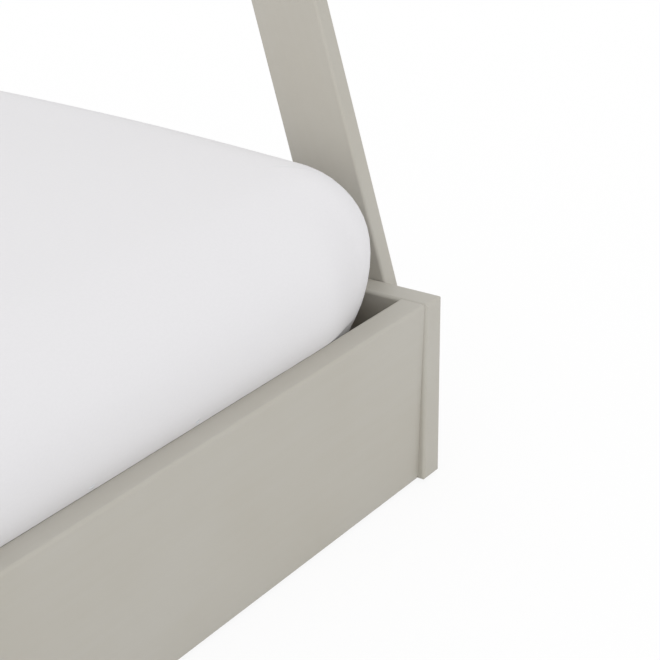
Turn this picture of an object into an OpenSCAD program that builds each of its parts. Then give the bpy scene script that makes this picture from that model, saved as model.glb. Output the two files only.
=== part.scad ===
// Junior tent bed: boards on edge round a low slatted deck, and two crossed posts at each end
// that carry a ridge beam. Sizes are millimetres and +Z is up.
// The origin is on the floor under the middle of the bed. The bed's length runs along X,
// from the head at -X to the foot at +X, and the left side is at +Y.

/* [Mattress] */
// Length of the mattress in its sheet
mattress_l = 1400; // [1200:10:1600]
// Width of the mattress in its sheet
mattress_w = 700; // [600:10:800]
// Height of the mattress at its edges
mattress_h = 147; // [120:1:170]
// Extra height of the crown in the middle
mattress_crown = 18; // [0:1:25]
// Reach of the rounded top edge, seen from above
top_round = 58; // [40:1:80]
// Drop of the rounded top edge, from the top down to the fullest line
top_fall = 72; // [40:1:90]
// How far the side draws in from the fullest line down to the base
base_round = 18; // [10:1:50]
// Corner radius in plan at the fullest line
full_corner_r = 44; // [35:1:80]
// Corner radius in plan at the base, where the sheet's elastic pulls the corners in
base_corner_r = 86; // [44:1:120]
// Clearance between the mattress and the boards, all round
mattress_gap = 5; // [2:1:15]
// Thickness of the cover's cloth
cover_t = 2; // [1:0.5:4]

/* [Fitted sheet] */
// Thickness of the sheet's cloth
sheet_t = 1.2; // [0.8:0.1:2]
// How far the sheet turns in under the base
tuck_w = 90; // [60:5:150]
// Width of the elastic along the sheet's hem
elastic_w = 8; // [4:1:12]
// Clearance between the layers of the mattress, and between the sheet and the slats
layer_gap = 0.3; // [0.2:0.1:1]

/* [Boards] */
// Thickness of the rails and end boards
board_t = 25; // [20:1:30]
// Height of the rails and end boards
board_h = 165; // [140:5:220]
// Radius on the arrises of the boards
board_ease = 3; // [1:0.5:5]
// Set-back of a rail's outer face from the end board's edge, at the top
rail_set_back = 1.5; // [0:0.5:5]
// Further draw-in of a rail's outer face at its foot
rail_draw_in = 5; // [0:0.5:6]

/* [Slat deck] */
// Drop from the top of the boards to the top of the slats
deck_drop = 28; // [20:1:45]
// Number of slats
slat_count = 13; // [9:1:14]
// Width of a slat
slat_w = 70; // [50:1:75]
// Thickness of a slat
slat_t = 14; // [10:1:18]
// Clearance between a slat's end and the rail
slat_play = 2; // [1:0.5:4]
// Radius on the long arrises of a slat
slat_ease = 2; // [1:0.5:4]
// Thickness of the ledger that carries the slats' ends
ledger_t = 20; // [16:1:30]
// Height of the ledger
ledger_h = 30; // [24:1:40]
// Clearance between a ledger's end and the end board
ledger_play = 2; // [1:1:10]

/* [Webbing] */
// Width of a webbing tape
tape_w = 30; // [20:1:40]
// Thickness of a webbing tape
tape_t = 1.2; // [0.8:0.1:2]
// Distance of each tape from the middle of the bed
tape_y = 180; // [120:5:240]
// Width of a staple's crown
staple_w = 10; // [6:1:14]
// Thickness of the staple's wire
staple_wire = 1; // [0.6:0.1:1.4]
// Length of a staple's legs
staple_leg = 8; // [6:0.5:10]

/* [Posts] */
// Width of a post, in the plane of the end board
post_w = 66; // [50:1:80]
// Thickness of a post
post_t = 18; // [15:1:25]
// Lean of a post from upright, in degrees
post_lean = 16.4; // [12:0.1:20]
// Level distance from the end board's edge to the post, at the board's top
post_inset = 57; // [50:1:80]
// Height of a post's foot above the bottom of the end board
post_foot_rise = 20; // [15:1:40]
// Reach of a post past the crossing, along the post
post_reach = 190; // [150:5:260]
// Radius on the arrises of a post
post_ease = 2.5; // [1:0.5:4]
// Clearance at each shoulder of the lap where two posts cross
lap_play = 0.1; // [0.05:0.05:0.3]

/* [Ridge beam] */
// Thickness of the ridge beam
ridge_t = 25; // [22:1:30]
// Height of the ridge beam
ridge_h = 66; // [50:1:80]

/* [Bolts] */
// Radius of a bolt's shank
bolt_r = 3; // [2.5:0.5:4]
// Radial clearance of a bolt in a board
bolt_play = 0.25; // [0.1:0.05:0.6]
// Radial clearance of a bolt in its nut
thread_play = 0.05; // [0.02:0.01:0.1]
// Radius of a bolt's flat head
head_r = 7; // [6:0.5:8]
// Thickness of a bolt's flat head
head_h = 2.4; // [2:0.1:3]
// Clearance round a bolt's head in its recess
head_play = 0.3; // [0.2:0.1:0.6]
// Radius of the hexagon socket in a bolt's head, to its corners
socket_r = 2.3; // [2:0.1:2.6]
// Depth of that socket
socket_h = 1.7; // [1.2:0.1:2]
// Radius of a barrel nut
barrel_r = 5; // [4.5:0.5:6]
// Length of a barrel nut
barrel_l = 12; // [10:0.5:14]
// Radial clearance of a barrel nut
barrel_play = 0.1; // [0.05:0.05:0.3]
// Width and depth of the screwdriver slot in a barrel nut
slot_w = 1.2; // [0.8:0.1:1.6]
// Distance from the joint to a barrel nut
barrel_set = 35; // [28:1:45]
// Length of a bolt past the middle of its barrel nut
bolt_past = 8; // [6:1:12]
// Distance from a rail's inner face to its bolts
rail_bolt_in = 11; // [9:0.5:12]
// Drop of a rail's upper bolt below the board's top
rail_bolt_high = 32; // [28:1:34]
// Drop of a rail's lower bolt below the board's top
rail_bolt_low = 105; // [95:1:115]
// Drop of a post's upper bolt below the board's top
post_bolt_high = 35; // [25:1:50]
// Drop of a post's lower bolt below the board's top
post_bolt_low = 108; // [80:1:115]
// Radius of a threaded insert
insert_r = 5; // [4.5:0.5:6]
// Length of a threaded insert
insert_l = 15; // [12:1:18]
// Depth of an insert's hole past the insert
insert_past = 1; // [0.5:0.5:3]
// Distance of each ridge bolt above or below the crossing
ridge_bolt_rise = 18; // [12:1:20]

/* [Dowels and screws] */
// Radius of a dowel
dowel_r = 4; // [3:0.5:5]
// Radial clearance of a dowel
dowel_play = 0.05; // [0.02:0.01:0.1]
// Depth of a dowel in the end board
dowel_in_board = 12; // [10:1:16]
// Depth of a dowel in the rail
dowel_in_rail = 18; // [14:1:25]
// Drop of a dowel below the board's top
dowel_drop = 68; // [50:1:85]
// Radius of a slat screw
slat_screw_r = 1.75; // [1.5:0.25:2.5]
// Length of a slat screw
slat_screw_l = 30; // [25:1:35]
// Radius of a ledger screw
ledger_screw_r = 2; // [1.5:0.25:2.5]
// Length of a ledger screw
ledger_screw_l = 34; // [28:1:36]
// Number of screws in each ledger
ledger_screws = 4; // [3:1:5]
// Radius of a screw's head
screw_head_r = 3.6; // [3.2:0.1:4]
// Depth of a screw's countersunk head
screw_head_h = 2.2; // [2:0.1:3]
// Width of the cross in a screw's head
cross_w = 1; // [0.8:0.1:1.2]
// Radius of a screw's point
tip_r = 0.35; // [0.2:0.05:0.5]
// Radial clearance of a screw, a staple's leg or a glide's pin
screw_play = 0.05; // [0.02:0.01:0.1]

/* [Glides] */
// Height of a glide under the boards
glide_h = 3; // [2:0.5:6]
// Radius of a glide
glide_r = 7; // [6:0.5:8]
// Distance from an end board's edge to its glide
glide_inset = 60; // [40:5:120]
// Radius of a glide's pin
pin_r = 1; // [0.8:0.1:1.5]
// Length of a glide's pin
pin_l = 10; // [8:1:14]

/* [Hidden] */
PAINT = [0.72, 0.70, 0.66];
BIRCH = [0.86, 0.75, 0.58];
STEEL = [0.62, 0.63, 0.65];
LINEN = [0.94, 0.94, 0.95];
TICKING = [0.86, 0.88, 0.90];
FOAM = [0.95, 0.92, 0.80];
WEBBING = [0.80, 0.78, 0.72];
NYLON = [0.35, 0.34, 0.33];

// Planes that the pieces share, measured from the floor and from the middle of the bed
base_z = glide_h;
top_z = base_z + board_h;
inner_x = mattress_l / 2 + mattress_gap;
outer_x = inner_x + board_t;
inner_y = mattress_w / 2 + mattress_gap;
rail_y = inner_y + board_t;
end_y = rail_y + rail_set_back;
deck_z = top_z - deck_drop;
ledger_z = deck_z - slat_t;
bed_z = deck_z + layer_gap;

// The posts of one end meet at the crossing, where the ridge beam is bolted
post_level_w = post_w / cos(post_lean);
post_axis_y = end_y - post_inset - post_level_w / 2;
cross_z = top_z + post_axis_y / tan(post_lean);
post_foot_z = base_z + post_foot_rise;
post_x = outer_x + post_t / 2;
post_down = (cross_z - post_foot_z) / cos(post_lean) + post_w;

// Slats and the gaps between them share the length inside the boards
slat_gap = (2 * inner_x - slat_count * slat_w) / (slat_count + 1);
slat_pitch = slat_w + slat_gap;
first_slat_x = slat_gap + slat_w / 2 - inner_x;
bearing_y = inner_y - ledger_t / 2;
tape_l = (slat_count - 1) * slat_pitch + slat_w - 2 * staple_w;
ledger_pitch = 2 * inner_x / ledger_screws;

// Fixings that pass from one piece into another
rail_bolt_y = inner_y + rail_bolt_in;
rail_bolt_zs = [top_z - rail_bolt_high, top_z - rail_bolt_low];
post_bolt_drops = [post_bolt_high, post_bolt_low];
dowel_z = top_z - dowel_drop;
glide_end_x = inner_x + board_t / 2;
glide_end_y = end_y - glide_inset;
glide_rail_y = inner_y + (board_t - rail_draw_in) / 2;
seam = 1;

// The mattress is drawn as rings of points: arcs at the corners and a few points along each side
arc_steps = 5;
long_steps = 6;
short_steps = 4;
low_steps = 3;
high_steps = 5;
crown_steps = 3;
full_z = mattress_h - top_fall;
crown_fade = 0.4;
ridge_half = 12;
ring_flat = 2;
ring_points = 4 * (arc_steps + 1) + 2 * (long_steps - 1) + 2 * (short_steps - 1);

// How far each layer lies inside the sheet's outer face
cover_skin = sheet_t + layer_gap;
core_skin = cover_skin + cover_t + layer_gap;

function slat_name(i) = str("slat_", i < 10 ? "0" : "", i);
function slat_x(i) = first_slat_x + (i - 1) * slat_pitch;

// Middle of the gap between slats that lies nearest to x
function gap_near(x) = first_slat_x + (round((x - first_slat_x) / slat_pitch - 0.5) + 0.5) * slat_pitch;

// Distance of a post's middle line from the middle of the bed, at a drop below the boards' top
function post_y(drop) = post_axis_y + drop * tan(post_lean);

// Y of a rail's outer face at a height above the floor
function rail_face(z) = rail_y - rail_draw_in * (top_z - z) / board_h;

module both_ends() {
    children();
    mirror([1, 0, 0]) children();
}

module both_sides() {
    children();
    mirror([0, 1, 0]) children();
}

// A rectangle with round corners, centred on the origin
module round_rect(w, h, r) {
    square([w - 2 * r, h], center = true);
    square([w, h - 2 * r], center = true);
    for (x = [-1, 1], y = [-1, 1])
        translate([x * (w / 2 - r), y * (h / 2 - r)]) circle(r = r, $fn = 48);
}

// A board with every arris eased, centred on the origin
module eased_board(x, y, z, r) {
    intersection() {
        linear_extrude(height = z, center = true) round_rect(x, y, r);
        rotate([90, 0, 0]) linear_extrude(height = y, center = true) round_rect(x, z, r);
        rotate([90, 0, 90]) linear_extrude(height = x, center = true) round_rect(y, z, r);
    }
}

// A round hole or pin from a point, running towards the middle of the bed along X
module inward_rod(x, y, z, r, l) {
    translate([x, y, z]) rotate([0, -90, 0]) cylinder(r = r, h = l, $fn = 48);
}

// Hole for a bolt whose head lies flush in the face at x
module bolt_hole(x, y, z, l) {
    inward_rod(x + seam, y, z, bolt_r + bolt_play, l + seam);
    inward_rod(x + seam, y, z, head_r + head_play, head_h + seam);
}

// A flat-headed bolt with a hexagon socket, its head flush with the face at x
module flush_bolt(x, y, z, l) {
    difference() {
        union() {
            inward_rod(x, y, z, head_r, head_h);
            inward_rod(x, y, z, bolt_r, l);
        }
        translate([x + seam, y, z]) rotate([0, -90, 0])
            cylinder(r = socket_r, h = socket_h + seam, $fn = 6);
    }
}

// A barrel nut across a board, with its thread along X and a slot for turning it into line
module barrel_nut(x, y, z) {
    translate([x, y, z]) difference() {
        rotate([90, 0, 0]) cylinder(r = barrel_r, h = barrel_l, center = true, $fn = 48);
        rotate([0, 90, 0])
            cylinder(r = bolt_r + thread_play, h = 3 * barrel_r, center = true, $fn = 48);
        translate([0, -barrel_l / 2, 0]) cube([slot_w, 2 * slot_w, 3 * barrel_r], center = true);
    }
}

// Hole for a barrel nut, open at the face at y and ending just past the nut
module barrel_hole(x, face_y, nut_y, z) {
    reach = nut_y + barrel_l / 2 + barrel_play - face_y;
    translate([x, face_y - seam, z]) rotate([-90, 0, 0])
        cylinder(r = barrel_r + barrel_play, h = reach + seam, $fn = 48);
}

// A countersunk wood screw that points along -Z from the origin
module wood_screw(r, l) {
    difference() {
        union() {
            translate([0, 0, -screw_head_h])
                cylinder(r1 = r, r2 = screw_head_r, h = screw_head_h, $fn = 32);
            translate([0, 0, -(l - 2 * r)]) cylinder(r = r, h = l - 2 * r - screw_head_h / 2, $fn = 32);
            translate([0, 0, -l]) cylinder(r1 = tip_r, r2 = r, h = 2 * r, $fn = 32);
        }
        cube([cross_w, screw_head_r, screw_head_h], center = true);
        cube([screw_head_r, cross_w, screw_head_h], center = true);
    }
}

// Hole for that screw, with its countersink, open at the origin's plane
module screw_hole(r, l) {
    translate([0, 0, -l - screw_play]) cylinder(r = r + screw_play, h = l + seam, $fn = 32);
    translate([0, 0, -screw_head_h]) {
        cylinder(r1 = r + screw_play, r2 = screw_head_r + screw_play, h = screw_head_h, $fn = 32);
    }
    cylinder(r = screw_head_r + screw_play, h = seam, $fn = 32);
}

// Where the screws, bolts, dowels, staples and glides go: each piece and its hole use these
module at_slat_screws(i) {
    both_sides() translate([slat_x(i), bearing_y, deck_z]) children();
}

module at_ledger_screws() {
    for (k = [0:ledger_screws - 1])
        translate([gap_near((k + 0.5) * ledger_pitch - inner_x), inner_y - ledger_t, ledger_z - ledger_h / 2])
            rotate([90, 0, 0]) children();
}

module at_staple_legs(i) {
    both_sides() for (s = [-1, 1])
        translate([slat_x(i), tape_y + s * (staple_w - staple_wire) / 2, 0]) children();
}

module leg_slot(low, high) {
    w = staple_wire + 2 * screw_play;
    translate([-w / 2, -w / 2, low]) cube([w, w, high - low]);
}

module at_end_glides() {
    both_sides() translate([glide_end_x, glide_end_y, 0]) children();
}

module at_rail_glide() {
    translate([0, glide_rail_y, 0]) children();
}

module pin_hole() {
    translate([0, 0, base_z - seam]) cylinder(r = pin_r + screw_play, h = pin_l + seam, $fn = 24);
}

// End boards

module end_board() {
    color(PAINT) difference() {
        translate([inner_x + board_t / 2, 0, base_z + board_h / 2])
            eased_board(board_t, 2 * end_y, board_h, board_ease);
        both_sides() for (z = rail_bolt_zs) bolt_hole(outer_x, rail_bolt_y, z, board_t + seam);
        both_sides() inward_rod(inner_x + dowel_in_board, rail_bolt_y, dowel_z,
            dowel_r + dowel_play, dowel_in_board + seam);
        both_sides() for (d = post_bolt_drops)
            inward_rod(outer_x + seam, post_y(d), top_z - d, insert_r + screw_play, insert_l + insert_past + seam);
        at_end_glides() pin_hole();
    }
}

module foot_end_board() { end_board(); }

module head_end_board() { mirror([1, 0, 0]) end_board(); }

// Side rails: the inner face is upright, and the outer face draws in towards the floor

module rail_section() {
    r = board_ease;
    lean = atan(rail_draw_in / board_h);
    low = base_z + r;
    high = top_z - r;
    in_y = inner_y + r;
    low_y = rail_face(low) - r / cos(lean);
    high_y = rail_face(high) - r / cos(lean);
    polygon([
        [in_y, base_z], [low_y, base_z],
        [low_y + r * cos(lean), low - r * sin(lean)],
        [high_y + r * cos(lean), high - r * sin(lean)],
        [high_y, top_z], [in_y, top_z],
        [inner_y, high], [inner_y, low]
    ]);
    for (p = [[in_y, low], [in_y, high], [low_y, low], [high_y, high]])
        translate(p) circle(r = r, $fn = 48);
}

module side_rail() {
    color(PAINT) difference() {
        rotate([90, 0, 90]) linear_extrude(height = 2 * inner_x, center = true) rail_section();
        both_ends() for (z = rail_bolt_zs) {
            inward_rod(inner_x + seam, rail_bolt_y, z, bolt_r + bolt_play, barrel_set + bolt_past + 2 * seam);
            barrel_hole(inner_x - barrel_set, inner_y, rail_bolt_y, z);
        }
        both_ends() inward_rod(inner_x + seam, rail_bolt_y, dowel_z,
            dowel_r + dowel_play, dowel_in_rail + seam);
        at_ledger_screws() screw_hole(ledger_screw_r, ledger_screw_l);
        at_rail_glide() pin_hole();
    }
}

module left_side_rail() { side_rail(); }

module right_side_rail() { mirror([0, 1, 0]) side_rail(); }

// Ledgers, slats and the webbing that spaces them

module slat_ledger() {
    color(BIRCH) difference() {
        translate([0, inner_y - ledger_t / 2, ledger_z - ledger_h / 2])
            cube([2 * (inner_x - ledger_play), ledger_t, ledger_h], center = true);
        at_ledger_screws() screw_hole(ledger_screw_r, ledger_screw_l);
        for (i = [1:slat_count]) at_slat_screws(i) screw_hole(slat_screw_r, slat_screw_l);
    }
}

module left_slat_ledger() { slat_ledger(); }

module right_slat_ledger() { mirror([0, 1, 0]) slat_ledger(); }

module slat(i) {
    color(BIRCH) difference() {
        translate([slat_x(i), 0, deck_z - slat_t / 2]) rotate([90, 0, 0])
            linear_extrude(height = 2 * (inner_y - slat_play), center = true)
                round_rect(slat_w, slat_t, slat_ease);
        at_slat_screws(i) screw_hole(slat_screw_r, slat_screw_l);
        at_staple_legs(i) leg_slot(ledger_z - seam, ledger_z - tape_t + staple_leg + screw_play);
    }
}

module slat_tape() {
    color(WEBBING) difference() {
        translate([0, tape_y, ledger_z - tape_t / 2]) cube([tape_l, tape_w, tape_t], center = true);
        for (i = [1:slat_count]) at_staple_legs(i) leg_slot(ledger_z - tape_t - seam, ledger_z + seam);
    }
}

module left_slat_tape() { slat_tape(); }

module right_slat_tape() { mirror([0, 1, 0]) slat_tape(); }

module tape_staples() {
    color(STEEL) for (i = [1:slat_count]) both_sides()
        translate([slat_x(i), tape_y, ledger_z - tape_t]) {
            translate([0, 0, -staple_wire / 2]) cube([staple_wire, staple_w, staple_wire], center = true);
            for (s = [-1, 1]) translate([0, s * (staple_w - staple_wire) / 2, staple_leg / 2])
                cube([staple_wire, staple_wire, staple_leg], center = true);
        }
}

module slat_screws() {
    color(STEEL) for (i = [1:slat_count]) at_slat_screws(i) wood_screw(slat_screw_r, slat_screw_l);
}

module ledger_screws() {
    color(STEEL) both_sides() at_ledger_screws() wood_screw(ledger_screw_r, ledger_screw_l);
}

// Fixings at the corners of the box

module rail_bolts() {
    color(STEEL) both_ends() both_sides() for (z = rail_bolt_zs)
        flush_bolt(outer_x, rail_bolt_y, z, board_t + barrel_set + bolt_past);
}

module rail_barrel_nuts() {
    color(STEEL) both_ends() both_sides() for (z = rail_bolt_zs)
        barrel_nut(inner_x - barrel_set, rail_bolt_y, z);
}

module rail_dowels() {
    color(BIRCH) both_ends() both_sides()
        inward_rod(inner_x + dowel_in_board, rail_bolt_y, dowel_z, dowel_r, dowel_in_board + dowel_in_rail);
}

// Posts: side is 1 for the left post and -1 for the right one. The left post keeps the inner
// half of its thickness at the crossing, and the right post keeps the outer half.

module post(side) {
    lap_x = post_x + side * post_t / 2;
    color(PAINT) difference() {
        translate([post_x, 0, cross_z]) rotate([side * post_lean, 0, 0])
            translate([0, 0, (post_reach - post_down) / 2])
                eased_board(post_t, post_w, post_reach + post_down, post_ease);
        translate([post_x, side * post_y(0), post_foot_z - 2 * post_w])
            cube([2 * post_t, 6 * post_w, 4 * post_w], center = true);
        translate([lap_x, 0, cross_z]) rotate([-side * post_lean, 0, 0])
            cube([post_t, post_w + 2 * lap_play, 8 * post_w], center = true);
        for (d = post_bolt_drops) bolt_hole(outer_x + post_t, side * post_y(d), top_z - d, post_t + seam);
        for (s = [-1, 1]) bolt_hole(outer_x + post_t, 0, cross_z + s * ridge_bolt_rise, post_t + seam);
    }
}

module foot_left_post() { post(1); }

module foot_right_post() { post(-1); }

module head_left_post() { mirror([1, 0, 0]) post(1); }

module head_right_post() { mirror([1, 0, 0]) post(-1); }

module post_bolts() {
    color(STEEL) both_ends() both_sides() for (d = post_bolt_drops)
        flush_bolt(outer_x + post_t, post_y(d), top_z - d, post_t + insert_l);
}

module post_inserts() {
    color(STEEL) both_ends() both_sides() for (d = post_bolt_drops) difference() {
        inward_rod(outer_x, post_y(d), top_z - d, insert_r, insert_l);
        inward_rod(outer_x + seam, post_y(d), top_z - d, bolt_r + thread_play, insert_l + 2 * seam);
    }
}

// Ridge beam between the two crossings, bolted through the laps

module ridge_beam() {
    color(PAINT) difference() {
        translate([0, 0, cross_z]) eased_board(2 * outer_x, ridge_t, ridge_h, board_ease);
        both_ends() for (s = [-1, 1]) {
            inward_rod(outer_x + seam, 0, cross_z + s * ridge_bolt_rise,
                bolt_r + bolt_play, barrel_set + bolt_past + 2 * seam);
            barrel_hole(outer_x - barrel_set, -ridge_t / 2, 0, cross_z + s * ridge_bolt_rise);
        }
    }
}

module ridge_bolts() {
    color(STEEL) both_ends() for (s = [-1, 1])
        flush_bolt(outer_x + post_t, 0, cross_z + s * ridge_bolt_rise, post_t + barrel_set + bolt_past);
}

module ridge_barrel_nuts() {
    color(STEEL) both_ends() for (s = [-1, 1])
        barrel_nut(outer_x - barrel_set, 0, cross_z + s * ridge_bolt_rise);
}

// Nail-on glides under the end boards and the rails

module floor_glide() {
    cylinder(r = glide_r, h = glide_h, $fn = 48);
    translate([0, 0, glide_h / 2]) cylinder(r = pin_r, h = pin_l + glide_h / 2, $fn = 24);
}

module floor_glides() {
    color(NYLON) {
        both_ends() at_end_glides() floor_glide();
        both_sides() at_rail_glide() floor_glide();
    }
}

// Mattress: skin is how far a layer lies inside the sheet's outer face

// Corner radius of a ring above the fullest line
function top_corner_r(inset) =
    min(max(full_corner_r - inset / 2, ridge_half), mattress_w / 2 - inset - ring_flat);

// Corner radius of a ring below the fullest line, a share of the way down to the base
function low_corner_r(skin, share) = full_corner_r + (base_corner_r - full_corner_r) * share - skin / 2;

// The crown fades to nothing at the sides and only partly at the ends
function crown_at(x, y) =
    mattress_crown * (1 - pow(2 * y / mattress_w, 2)) * (1 - crown_fade * pow(2 * x / mattress_l, 4));

// Plan of one ring, counter-clockwise, starting where the foot meets the foot's left corner
function ring_plan(inset, r) =
    let (hx = mattress_l / 2 - inset - r, hy = mattress_w / 2 - inset - r)
    [for (k = [0:3])
        let (
            sx = (k == 0 || k == 3) ? 1 : -1, sy = k < 2 ? 1 : -1,
            steps = k % 2 == 0 ? long_steps : short_steps,
            nx = (k == 2 || k == 3) ? 1 : -1, ny = (k == 0 || k == 3) ? 1 : -1,
            from = [sx * hx + r * cos(90 * k + 90), sy * hy + r * sin(90 * k + 90)],
            to = [nx * hx + r * cos(90 * k + 90), ny * hy + r * sin(90 * k + 90)]
        )
        each concat(
            [for (i = [0:arc_steps]) let (a = 90 * k + 90 * i / arc_steps)
                [sx * hx + r * cos(a), sy * hy + r * sin(a)]],
            [for (i = [1:steps - 1]) from + (to - from) * i / steps]
        )
    ];

// Inset, height and corner radius of each ring, from the base up the drawn-in side, over the
// rounded top edge and in across the crown
function levels(skin) = concat(
    [for (i = [0:low_steps]) let (a = 90 * i / low_steps)
        [
            skin + (base_round - skin) * (1 - sin(a)), full_z - (full_z - skin) * cos(a),
            low_corner_r(skin, 1 - sin(a))
        ]],
    [for (i = [1:high_steps])
        let (a = 90 * i / high_steps, inset = skin + (top_round - skin) * (1 - cos(a)))
        [inset, full_z + (top_fall - skin) * sin(a), top_corner_r(inset)]],
    [for (i = [1:crown_steps])
        let (inset = top_round + (mattress_w / 2 - ridge_half - top_round) * i / crown_steps)
        [inset, mattress_h - skin, top_corner_r(inset)]]
);

function ring_3d(level) = [for (p = ring_plan(level[0], level[2]))
    [p[0], p[1], bed_z + level[1] + crown_at(p[0], p[1]) * level[1] / mattress_h]];

module mattress_form(skin) {
    stack = levels(skin);
    last = len(stack) - 1;
    n = ring_points;
    points = concat(
        [for (level = stack) each ring_3d(level)],
        [[0, 0, bed_z + skin + crown_at(0, 0) * skin / mattress_h]],
        [[0, 0, bed_z + mattress_h - skin + mattress_crown]]
    );
    base_mid = n * (last + 1);
    top_mid = base_mid + 1;
    sides = [for (k = [0:last - 1], i = [0:n - 1])
        let (a = k * n + i, b = k * n + (i + 1) % n)
        each [[a, a + n, b + n], [a, b + n, b]]];
    base = [for (i = [0:n - 1]) [base_mid, i, (i + 1) % n]];
    top = [for (i = [0:n - 1]) [top_mid, last * n + (i + 1) % n, last * n + i]];
    polyhedron(points = points, faces = concat(sides, base, top));
}

module mattress_core() {
    color(FOAM) mattress_form(core_skin);
}

module mattress_cover() {
    color(TICKING) difference() {
        mattress_form(cover_skin);
        mattress_form(cover_skin + cover_t);
    }
}

module hem_opening(inset, low, high) {
    translate([0, 0, low]) linear_extrude(height = high - low)
        round_rect(mattress_l - 2 * inset, mattress_w - 2 * inset, full_corner_r);
}

module fitted_sheet() {
    color(LINEN) difference() {
        mattress_form(0);
        mattress_form(sheet_t);
        hem_opening(tuck_w, bed_z - seam, bed_z + 2 * sheet_t);
    }
}

module sheet_elastic() {
    color(LINEN) difference() {
        hem_opening(tuck_w, bed_z, bed_z + sheet_t);
        hem_opening(tuck_w + elastic_w, bed_z - seam, bed_z + sheet_t + seam);
    }
}

head_end_board();
foot_end_board();
left_side_rail();
right_side_rail();
left_slat_ledger();
right_slat_ledger();
for (i = [1:slat_count]) slat(i);
left_slat_tape();
right_slat_tape();
tape_staples();
slat_screws();
ledger_screws();
rail_bolts();
rail_barrel_nuts();
rail_dowels();
head_left_post();
head_right_post();
foot_left_post();
foot_right_post();
post_bolts();
post_inserts();
ridge_beam();
ridge_bolts();
ridge_barrel_nuts();
floor_glides();
mattress_core();
mattress_cover();
fitted_sheet();
sheet_elastic();
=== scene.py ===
# %% [markdown]
# A junior tent bed, dressed in Blender.
# The bed is a box of painted boards round a low slatted deck. Two crossed posts stand at each
# end and carry a ridge beam, and a foam mattress in a white fitted sheet lies in the box.
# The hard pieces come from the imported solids, which this lesson loads first and never moves.
# What Blender adds is the cloth, the webbing, the finishes, the light and the camera.

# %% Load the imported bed
import math

import bpy
import numpy as np
from mathutils import Matrix, Vector, noise


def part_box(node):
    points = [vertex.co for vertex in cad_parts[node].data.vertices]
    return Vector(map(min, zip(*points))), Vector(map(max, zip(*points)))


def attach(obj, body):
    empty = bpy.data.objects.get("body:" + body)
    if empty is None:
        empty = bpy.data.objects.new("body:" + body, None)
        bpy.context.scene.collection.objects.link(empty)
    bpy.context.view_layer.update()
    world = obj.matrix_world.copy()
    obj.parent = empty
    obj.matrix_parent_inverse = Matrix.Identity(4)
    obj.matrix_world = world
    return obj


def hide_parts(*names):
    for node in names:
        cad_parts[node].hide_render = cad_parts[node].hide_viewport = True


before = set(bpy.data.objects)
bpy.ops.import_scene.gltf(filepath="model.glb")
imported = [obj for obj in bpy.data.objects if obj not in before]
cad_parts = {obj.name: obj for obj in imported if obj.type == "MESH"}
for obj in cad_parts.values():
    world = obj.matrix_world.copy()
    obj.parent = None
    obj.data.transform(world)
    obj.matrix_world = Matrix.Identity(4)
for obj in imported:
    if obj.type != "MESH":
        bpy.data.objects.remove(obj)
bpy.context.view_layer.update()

scene = bpy.context.scene

# %% [markdown]
# The photograph looks down on the foot's right corner, from beside the bed and a little in
# front of it. A camera is a place, a direction and a lens. All three were worked out from the
# straight edges of the boards and posts, whose lengths are known. The direction is built from
# a turn from the bed's length, a tilt down and a slight roll.

# %% Camera at the photograph's angle
CAMERA_PLACE = Vector((-0.5287, -1.1246, 0.7859))
CAMERA_TURN = math.radians(34.247)
CAMERA_DOWN = math.radians(23.973)
CAMERA_ROLL = -0.0089
SENSOR_MM = 36.0
LENS_WIDTHS = 1890.5 / 660

forward = Vector((
    math.cos(CAMERA_TURN) * math.cos(CAMERA_DOWN),
    math.sin(CAMERA_TURN) * math.cos(CAMERA_DOWN),
    -math.sin(CAMERA_DOWN),
))
sideways = forward.cross(Vector((0, 0, 1))).normalized()
upward = sideways.cross(forward)
axes = Matrix((sideways, upward, -forward)).transposed().to_4x4()

camera_data = bpy.data.cameras.new("corner_view")
camera_data.sensor_width = SENSOR_MM
camera_data.lens = SENSOR_MM * LENS_WIDTHS
camera_data.clip_start = 0.05
camera_data.clip_end = 100.0
camera = bpy.data.objects.new("corner_view", camera_data)
scene.collection.objects.link(camera)
camera.matrix_world = (
    Matrix.Translation(CAMERA_PLACE) @ axes @ Matrix.Rotation(CAMERA_ROLL, 4, "Z")
)
scene.camera = camera
print("lens:", round(camera_data.lens, 1), "mm at", CAMERA_PLACE)

# %% [markdown]
# A finish is a small network of nodes. Three helpers start one: one adds a node and wires or
# sets its sockets, one turns a colour as a screen shows it into light, and one makes a
# material with its Principled shader. Numbers that are the same all over a surface are set on
# the shader itself, so that they survive an export.

# %% Helpers that start a material
def add(tree, kind, sockets=None, **settings):
    """Adds a node. Each socket gets a constant, or a wire from another node's output."""
    made = tree.nodes.new(kind)
    for name, value in settings.items():
        setattr(made, name, value)
    for name, value in (sockets or {}).items():
        if isinstance(value, bpy.types.NodeSocket):
            tree.links.new(value, made.inputs[name])
        else:
            made.inputs[name].default_value = value
    return made


def screen(red, green, blue):
    """A colour given as a screen shows it, 0 to 255, as Blender's linear light."""
    shares = [c / 255 for c in (red, green, blue)]
    return tuple(c / 12.92 if c <= 0.04045 else ((c + 0.055) / 1.055) ** 2.4 for c in shares)


def opaque(colour):
    return (*colour, 1.0)


def new_finish(name, roughness, **constants):
    """A material with its Principled shader. Constants are sockets of the shader."""
    material = bpy.data.materials.new(name)
    material.use_nodes = True
    tree = material.node_tree
    shader = tree.nodes["Principled BSDF"]
    shader.inputs["Roughness"].default_value = roughness
    for socket, value in constants.items():
        shader.inputs[socket.replace("_", " ")].default_value = value
    return material, tree, shader


print("a screen's half grey is", round(screen(128, 128, 128)[0], 3), "as light")

# %% [markdown]
# Inside a finish, textures give values from 0 to 1, sums bring them together, and a value ends
# as a colour, as a roughness or as a relief. Each of these is one short helper, so that a
# finish later reads as a list of what the surface is made of.

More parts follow.
